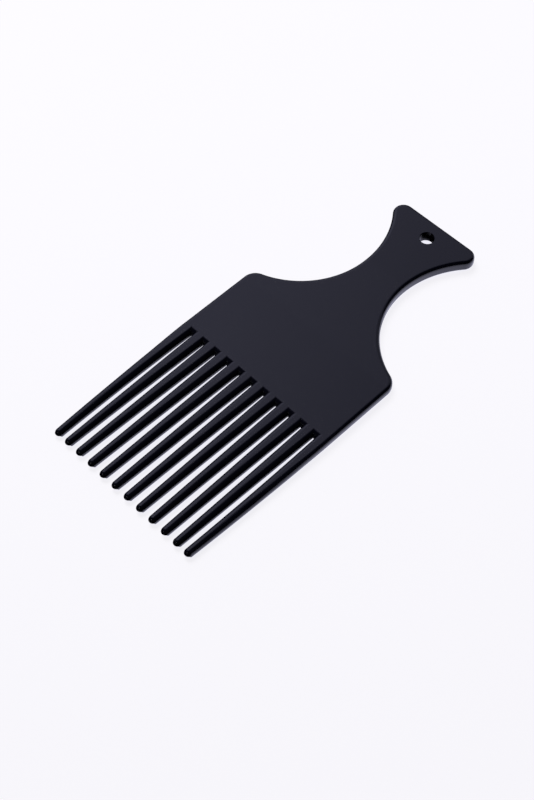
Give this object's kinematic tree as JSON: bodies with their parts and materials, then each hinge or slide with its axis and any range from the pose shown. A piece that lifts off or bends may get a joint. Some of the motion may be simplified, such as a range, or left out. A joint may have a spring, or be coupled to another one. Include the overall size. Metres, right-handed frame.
{
  "type": "afro pick",
  "caption": "Flat one-piece hair pick: a row of long round-edged tines on a comb plate that narrows through a flared neck to a fishtail grip with a hanging hole.",
  "frame": {"origin": "middle of the length and width, on the flat back face that the pick lies on", "axes": "+X along the row of tines, +Y from the tine tips to the fishtail grip, +Z out of the front face"},
  "size_m": [0.0742, 0.1668, 0.0049],
  "materials": {
    "black_plastic": "smooth semi-gloss moulded black plastic"
  },
  "bodies": {
    "root": {"fishtail_grip": "black_plastic", "flared_neck": "black_plastic", "comb_plate": "black_plastic", "tine_01": "black_plastic", "tine_02": "black_plastic", "tine_03": "black_plastic", "tine_04": "black_plastic", "tine_05": "black_plastic", "tine_06": "black_plastic", "tine_07": "black_plastic", "tine_08": "black_plastic", "tine_09": "black_plastic", "tine_10": "black_plastic", "tine_11": "black_plastic", "tine_12": "black_plastic"}
  },
  "joints": []
}
